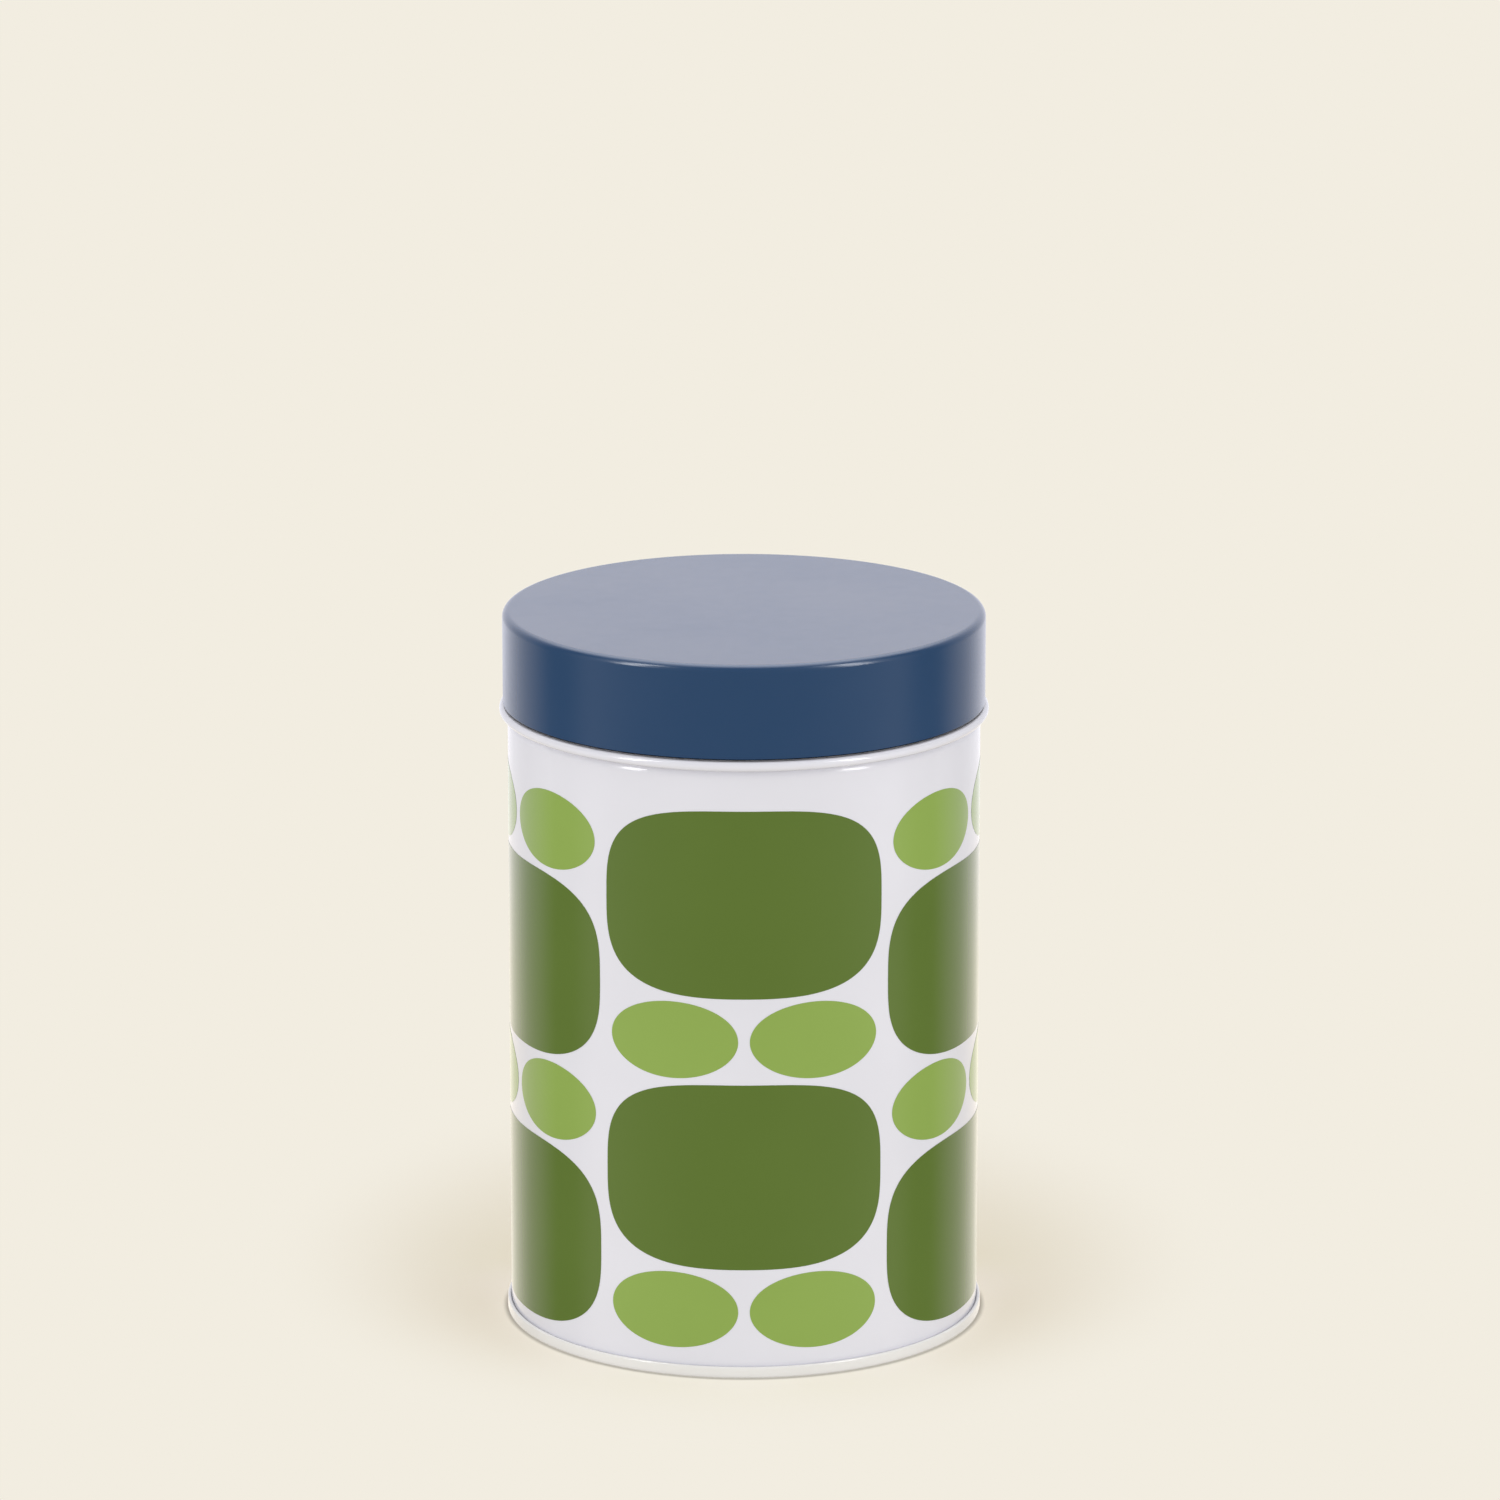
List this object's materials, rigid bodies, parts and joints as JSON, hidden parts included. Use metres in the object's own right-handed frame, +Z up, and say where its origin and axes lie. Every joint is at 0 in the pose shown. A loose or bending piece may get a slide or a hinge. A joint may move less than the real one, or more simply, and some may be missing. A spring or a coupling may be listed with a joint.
{
  "type": "coffee tin",
  "caption": "Round tinplate storage tin: printed wall, double-seamed base, slip-on lid that stops on a rolled bead, and a press-in inner lid with a knob.",
  "frame": {"origin": "centre of the flat ring that the tin stands on", "axes": "+Z up along the tin's axis; the front faces -Y; the wall's lock seam is at the back, at +Y"},
  "size_m": [0.1112, 0.1112, 0.1654],
  "materials": {
    "white_lacquer": "gloss",
    "dark_green_ink": "gloss",
    "light_green_ink": "gloss",
    "blue_lacquer": "satin gloss",
    "tinplate": "bright",
    "sealing_compound": "matt",
    "silicone": "satin",
    "knob_plastic": "gloss",
    "rivet_aluminium": "satin"
  },
  "bodies": {
    "tin": {"body_wall": "white_lacquer", "base_end": "white_lacquer", "base_seam_gasket": "sealing_compound"},
    "lid_ring": {"lid_seal": "silicone"},
    "lid": {"lid_shell": "blue_lacquer"},
    "inner_lid_ring": {"inner_lid_gasket": "silicone"},
    "inner_lid_plug": {"inner_lid": "tinplate", "inner_lid_knob": "knob_plastic", "inner_lid_rivet": "rivet_aluminium"}
  },
  "joints": [
    {"name": "lid_lift", "type": "slide", "parent": "tin", "child": "lid_ring", "axis": [0, 0, 1], "range_m": [0, 0.12]},
    {"name": "lid_turn", "type": "hinge", "parent": "lid_ring", "child": "lid", "pos_m": [0, 0, 0.1654], "axis": [0, 0, 1], "continuous": true},
    {"name": "inner_lid_lift", "type": "slide", "parent": "tin", "child": "inner_lid_ring", "axis": [0, 0, 1], "range_m": [0, 0.06]},
    {"name": "inner_lid_turn", "type": "hinge", "parent": "inner_lid_ring", "child": "inner_lid_plug", "pos_m": [0, 0, 0.152], "axis": [0, 0, 1], "continuous": true}
  ],
  "couplings": [
    {"joint": "inner_lid_lift", "follows": "lid_lift", "ratio": 0.5}
  ]
}
